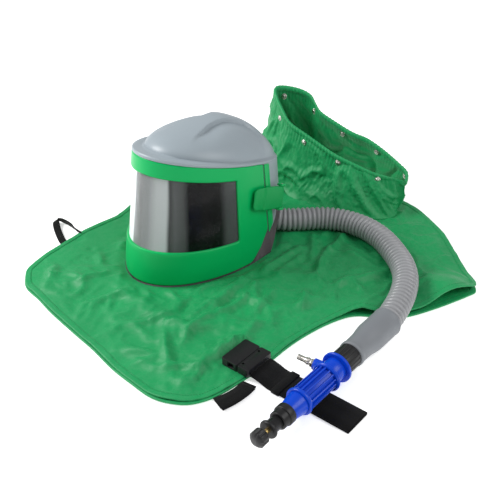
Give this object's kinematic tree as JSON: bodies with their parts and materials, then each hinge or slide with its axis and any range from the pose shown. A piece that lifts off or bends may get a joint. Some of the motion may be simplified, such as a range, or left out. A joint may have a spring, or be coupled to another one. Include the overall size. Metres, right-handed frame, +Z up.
{
  "type": "powered air respirator",
  "caption": "Supplied-air respirator: visored blast helmet on its laid cape, corrugated breathing tube, belt-worn climate valve with knob, webbing belt and buckle.",
  "frame": {"origin": "on the underside of the laid cape, the plane that the set lies on, below the middle of the visor's curve", "axes": "+Z up; the helmet faces -Y; the valve and belt lie on the +X side"},
  "size_m": [0.8019, 0.7814, 0.255],
  "materials": {
    "shell_plastic": "satin moulded grey",
    "door_plastic": "glossy green",
    "latch_rubber": "satin green rubber",
    "dark_trim": "matt",
    "lens_dark": "polished",
    "lens_clear": "polished film",
    "black_plastic": "fine matt",
    "tube_plastic": "satin grey",
    "cuff_rubber": "matt grey",
    "valve_plastic": "glossy blue",
    "plated_steel": "nickel plated",
    "stem_brass": "turned",
    "cape_nylon": "coated nylon, creased",
    "webbing": "woven polyester",
    "padding": "soft foam with cloth face"
  },
  "bodies": {
    "respirator": {"cape_lower": "cape_nylon", "cape_upper": "cape_nylon", "cape_hem": "cape_nylon", "collar": "cape_nylon", "collar_casing": "cape_nylon", "collar_snaps": "plated_steel", "strap_loop": "webbing", "strap_end": "webbing", "helmet_shell": "shell_plastic", "crest": "shell_plastic", "side_strip_left": "door_plastic", "side_strip_right": "door_plastic", "neck_trim": "dark_trim", "air_duct": "black_plastic", "inlet_elbow": "black_plastic", "inlet_spigot": "black_plastic", "inlet_cuff": "cuff_rubber", "inlet_clamp": "plated_steel", "hinge_barrel": "black_plastic", "hinge_pin": "plated_steel", "latch_base": "door_plastic", "latch_pin": "plated_steel", "headband_front": "black_plastic", "sweatband": "padding", "crown_strap": "webbing", "harness_studs": "black_plastic", "pad_left": "padding", "pad_right": "padding", "ratchet_housing": "black_plastic", "breathing_tube": "tube_plastic", "valve_cuff": "cuff_rubber", "valve_body": "valve_plastic", "valve_flanges": "valve_plastic", "belt_bracket": "black_plastic", "nipple_boss": "valve_plastic", "air_nipple": "plated_steel", "valve_nut": "black_plastic", "valve_barrel": "black_plastic", "belt_upper": "webbing", "belt_lower": "webbing", "belt_keeper": "webbing", "buckle_socket": "black_plastic", "buckle_plug": "black_plastic"},
    "door": {"visor_door": "door_plastic", "door_knuckle": "door_plastic", "brow_seal": "dark_trim", "window_gasket": "dark_trim", "lens": "lens_dark", "tear_off_lens": "lens_clear"},
    "latch_arm": {"latch": "latch_rubber"},
    "left_arm": {"band_arm_left": "black_plastic"},
    "right_arm": {"band_arm_right": "black_plastic"},
    "ratchet": {"ratchet_pinion": "black_plastic", "ratchet_knob": "black_plastic"},
    "coupling": {"coupling_nut": "black_plastic"},
    "stem": {"valve_stem": "stem_brass"},
    "knob": {"valve_knob": "black_plastic"},
    "left_prong": {"prong_left": "black_plastic"},
    "right_prong": {"prong_right": "black_plastic"}
  },
  "joints": [
    {"name": "visor_door", "type": "hinge", "parent": "respirator", "child": "door", "pos_m": [-0.128, 0.021, 0.1], "axis": [0, 0, -1], "range_deg": [0, 100]},
    {"name": "latch", "type": "hinge", "parent": "respirator", "child": "latch_arm", "pos_m": [0.12057, 0.0565, 0.11143], "axis": [-0.1045, 0.2908, 0.9511], "range_deg": [0, 90]},
    {"name": "ratchet_knob", "type": "hinge", "parent": "respirator", "child": "ratchet", "pos_m": [0, 0.083, 0.115], "axis": [0, 1, 0], "range_deg": [-90, 90]},
    {"name": "left_arm", "type": "hinge", "parent": "respirator", "child": "left_arm", "pos_m": [0, -0.006, 0.115], "axis": [0, 0, 1], "range_deg": [-4, 4]},
    {"name": "right_arm", "type": "hinge", "parent": "respirator", "child": "right_arm", "pos_m": [0, -0.006, 0.115], "axis": [0, 0, 1], "range_deg": [-4, 4]},
    {"name": "coupling_nut", "type": "hinge", "parent": "respirator", "child": "coupling", "pos_m": [0.415, -0.169, 0.0256], "axis": [0, -1, 0], "continuous": true},
    {"name": "valve_stem", "type": "slide", "parent": "respirator", "child": "stem", "axis": [0, -1, 0], "range_m": [0, 0.004]},
    {"name": "valve_knob", "type": "hinge", "parent": "stem", "child": "knob", "pos_m": [0.415, -0.372, 0.0256], "axis": [0, -1, 0], "range_deg": [0, 360]},
    {"name": "left_prong", "type": "hinge", "parent": "respirator", "child": "left_prong", "pos_m": [0.297, -0.264, 0.0125], "axis": [0, 0, 1], "range_deg": [-4, 0], "stiffness_Nm_per_rad": 0.3},
    {"name": "right_prong", "type": "hinge", "parent": "respirator", "child": "right_prong", "pos_m": [0.297, -0.226, 0.0125], "axis": [0, 0, 1], "range_deg": [0, 4], "stiffness_Nm_per_rad": 0.3}
  ],
  "couplings": [
    {"joint": "left_arm", "follows": "ratchet_knob", "ratio": -0.0428},
    {"joint": "right_arm", "follows": "ratchet_knob", "ratio": 0.0428},
    {"joint": "valve_knob", "follows": "valve_stem", "rad_per_m": 1570.8}
  ]
}
